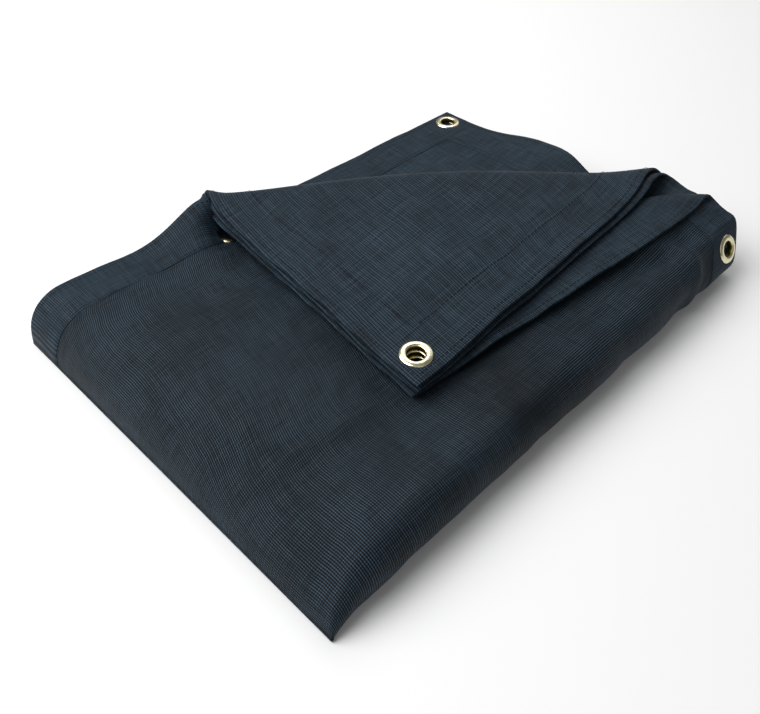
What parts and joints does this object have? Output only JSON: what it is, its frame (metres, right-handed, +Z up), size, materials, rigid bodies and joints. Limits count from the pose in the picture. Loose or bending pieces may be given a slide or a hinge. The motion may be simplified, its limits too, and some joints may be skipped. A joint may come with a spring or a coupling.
{
  "type": "folded mesh tarp",
  "caption": "Dark knitted mesh tarp folded into a flat rectangular bundle, its hemmed corners with brass grommets turned back over a soft diagonal ridge.",
  "frame": {"origin": "the middle of the folded bundle in plan, on the surface it rests on", "axes": "+Z up; +X along the long side of the bundle, from the pinched near corner to the right corner; +Y from the big rounded near fold to the hemmed far side"},
  "size_m": [0.4401, 0.3198, 0.0728],
  "materials": {
    "mesh": "knitted mesh, very dark slate blue, slight sheen on the ribs",
    "hem": "doubled knitted mesh, very dark slate blue, matte fine side",
    "brass": "polished brass"
  },
  "bodies": {
    "root": {"mesh_cloth": "mesh", "hem_top": "hem", "hem_second": "hem", "hem_third": "hem", "hem_fourth": "hem", "grommet_top_corner": "brass", "grommet_top_left": "brass", "grommet_top_side": "brass", "grommet_second_corner": "brass", "grommet_second_pocket": "brass", "grommet_third_corner": "brass", "grommet_fourth_corner": "brass"}
  },
  "joints": []
}
